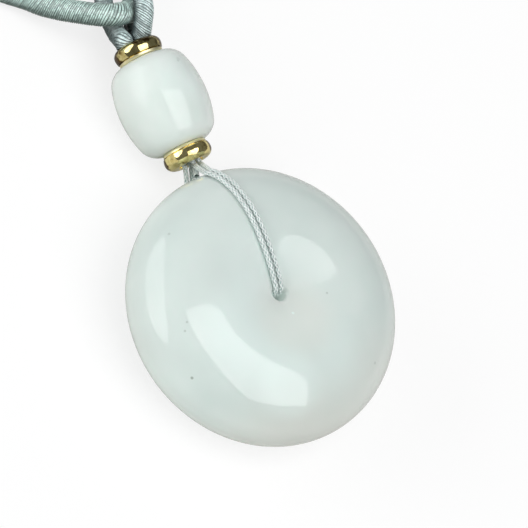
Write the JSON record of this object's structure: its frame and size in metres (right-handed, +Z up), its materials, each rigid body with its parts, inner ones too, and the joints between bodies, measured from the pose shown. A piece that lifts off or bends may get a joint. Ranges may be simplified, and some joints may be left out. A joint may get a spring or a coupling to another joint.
{
  "type": "pendant necklace",
  "caption": "Thick round jade disc pendant hung by fine strands from a jade bead with gold spacer rings, on a thread-wrapped neck cord laid out as a whole loop.",
  "frame": {"origin": "middle of the necklace's box, on the surface that it lies on", "axes": "+Y from the disc along the pendant to the back of the neck cord, +Z up from the surface, +X to the right"},
  "size_m": [0.1804, 0.284, 0.0151],
  "materials": {
    "jade": "polished",
    "bead_jade": "polished",
    "gold": "polished",
    "fine_cord": "satin",
    "wrapped_cord": "satin"
  },
  "bodies": {
    "root": {"jade_disc": "jade", "lower_ring": "gold", "jade_bead": "bead_jade", "upper_ring": "gold", "strand_left": "fine_cord", "strand_right": "fine_cord", "hanging_loop": "wrapped_cord", "neck_cord": "wrapped_cord", "cord_sleeve": "wrapped_cord"}
  },
  "joints": []
}
